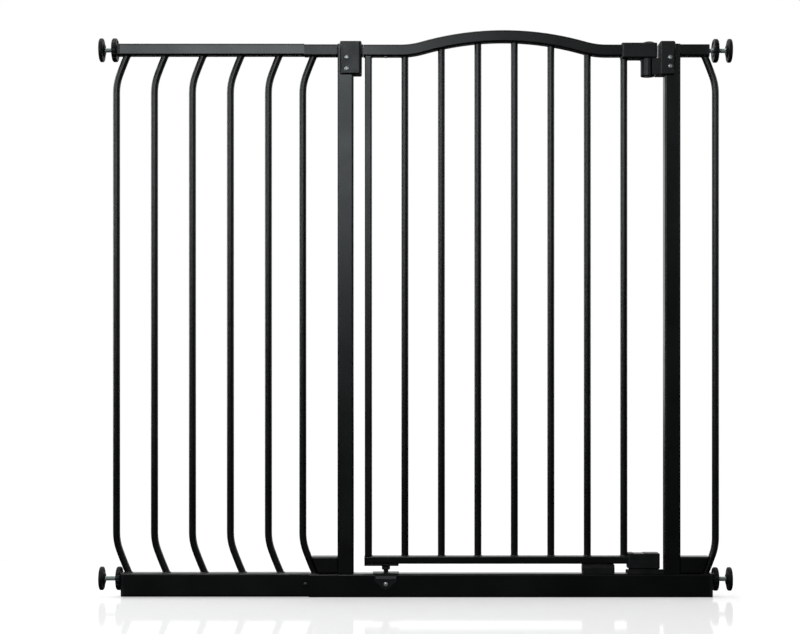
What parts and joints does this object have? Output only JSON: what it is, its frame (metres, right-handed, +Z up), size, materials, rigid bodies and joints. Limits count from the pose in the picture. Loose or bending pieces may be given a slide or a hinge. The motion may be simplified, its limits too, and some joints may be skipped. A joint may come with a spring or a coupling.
{
  "type": "safety gate",
  "caption": "Pressure-fit safety gate with an arched door that swings and lifts on a pin, a sliding latch, a bent-bar extension and screw spindles with wall pads.",
  "frame": {"origin": "on the floor, midway between the outer faces of the wall pads and in the middle of the rails' depth", "axes": "+X along the gate towards the latch side, +Y behind it, on the side the door opens to, +Z up"},
  "size_m": [1.074, 0.04, 0.9629],
  "materials": {
    "black_steel": "satin black powder coat",
    "black_plastic": "fine moulded texture",
    "nylon": "smooth moulded nylon",
    "bright_screw": "bright zinc plate",
    "dark_screw": "black oxide",
    "zinc_steel": "dull zinc plate",
    "rod_steel": "rolled thread, zinc plate",
    "pad_rubber": "matt moulded rubber"
  },
  "bodies": {
    "frame": {"base_rail": "black_steel", "left_post": "black_steel", "right_post": "black_steel", "left_foot_gusset": "black_steel", "right_foot_gusset": "black_steel", "left_top_stub": "black_steel", "right_top_stub": "black_steel", "left_side_bar": "black_steel", "right_side_bar": "black_steel", "post_caps": "black_plastic", "extension_top_rail": "black_steel", "extension_bottom_rail": "black_steel", "extension_bars": "black_steel", "top_joiner": "zinc_steel", "bottom_joiner": "zinc_steel", "joiner_screws": "dark_screw", "top_end_caps": "black_plastic", "bottom_end_caps": "black_plastic", "hinge_bracket": "black_plastic", "hinge_bracket_screws": "bright_screw", "hinge_arm": "zinc_steel", "hinge_saddle": "black_plastic", "hinge_socket": "nylon", "saddle_screw": "bright_screw", "latch_keep": "black_plastic", "keep_screws": "bright_screw", "base_catch": "black_plastic", "catch_screws": "bright_screw", "door_rest": "black_plastic"},
    "pivot": {"lower_hinge_pin": "black_steel"},
    "door": {"upper_hinge_pin": "zinc_steel", "hinge_plate": "black_steel", "hinge_bush": "nylon", "door_stile": "black_steel", "door_top_rail": "black_steel", "door_bottom_rail": "black_steel", "door_bars": "black_steel", "handle_front_cover": "black_plastic", "handle_back_cover": "black_plastic", "handle_screws": "dark_screw", "leg_pin": "bright_screw", "bottom_latch_housing": "black_plastic", "drop_pin": "bright_screw", "bottom_latch_screws": "bright_screw"},
    "latch_slide": {"latch_tongue": "zinc_steel", "thumb_button": "black_plastic"},
    "spindle_upper_left": {"spindle_rod_upper_left": "rod_steel", "wall_pad_upper_left": "pad_rubber"},
    "nut_upper_left": {"hand_nut_upper_left": "black_plastic"},
    "spindle_lower_left": {"spindle_rod_lower_left": "rod_steel", "wall_pad_lower_left": "pad_rubber"},
    "nut_lower_left": {"hand_nut_lower_left": "black_plastic"},
    "spindle_upper_right": {"spindle_rod_upper_right": "rod_steel", "wall_pad_upper_right": "pad_rubber"},
    "nut_upper_right": {"hand_nut_upper_right": "black_plastic"},
    "spindle_lower_right": {"spindle_rod_lower_right": "rod_steel", "wall_pad_lower_right": "pad_rubber"},
    "nut_lower_right": {"hand_nut_lower_right": "black_plastic"}
  },
  "joints": [
    {"name": "door_swing", "type": "hinge", "parent": "frame", "child": "pivot", "pos_m": [-0.0505, 0, 0.04], "axis": [0, 0, 1], "range_deg": [0, 90]},
    {"name": "door_lift", "type": "slide", "parent": "pivot", "child": "door", "axis": [0, 0, 1], "range_m": [0, 0.01]},
    {"name": "latch_slide", "type": "slide", "parent": "door", "child": "latch_slide", "axis": [1, 0, 0], "range_m": [0, 0.0055]},
    {"name": "spindle_slide_upper_left", "type": "slide", "parent": "frame", "child": "spindle_upper_left", "axis": [-1, 0, 0], "range_m": [-0.006, 0.035]},
    {"name": "nut_turn_upper_left", "type": "hinge", "parent": "frame", "child": "nut_upper_left", "pos_m": [-0.512, 0, 0.93], "axis": [1, 0, 0], "range_deg": [-1728, 10080]},
    {"name": "spindle_slide_lower_left", "type": "slide", "parent": "frame", "child": "spindle_lower_left", "axis": [-1, 0, 0], "range_m": [-0.006, 0.035]},
    {"name": "nut_turn_lower_left", "type": "hinge", "parent": "frame", "child": "nut_lower_left", "pos_m": [-0.512, 0, 0.031], "axis": [1, 0, 0], "range_deg": [-1728, 10080]},
    {"name": "spindle_slide_upper_right", "type": "slide", "parent": "frame", "child": "spindle_upper_right", "axis": [1, 0, 0], "range_m": [-0.006, 0.035]},
    {"name": "nut_turn_upper_right", "type": "hinge", "parent": "frame", "child": "nut_upper_right", "pos_m": [0.512, 0, 0.929], "axis": [-1, 0, 0], "range_deg": [-1728, 10080]},
    {"name": "spindle_slide_lower_right", "type": "slide", "parent": "frame", "child": "spindle_lower_right", "axis": [1, 0, 0], "range_m": [-0.006, 0.035]},
    {"name": "nut_turn_lower_right", "type": "hinge", "parent": "frame", "child": "nut_lower_right", "pos_m": [0.512, 0, 0.03], "axis": [-1, 0, 0], "range_deg": [-1728, 10080]}
  ],
  "couplings": [
    {"joint": "spindle_slide_upper_left", "follows": "nut_turn_upper_left", "m_per_rad": 0.00019894},
    {"joint": "spindle_slide_lower_left", "follows": "nut_turn_lower_left", "m_per_rad": 0.00019894},
    {"joint": "spindle_slide_upper_right", "follows": "nut_turn_upper_right", "m_per_rad": 0.00019894},
    {"joint": "spindle_slide_lower_right", "follows": "nut_turn_lower_right", "m_per_rad": 0.00019894}
  ]
}
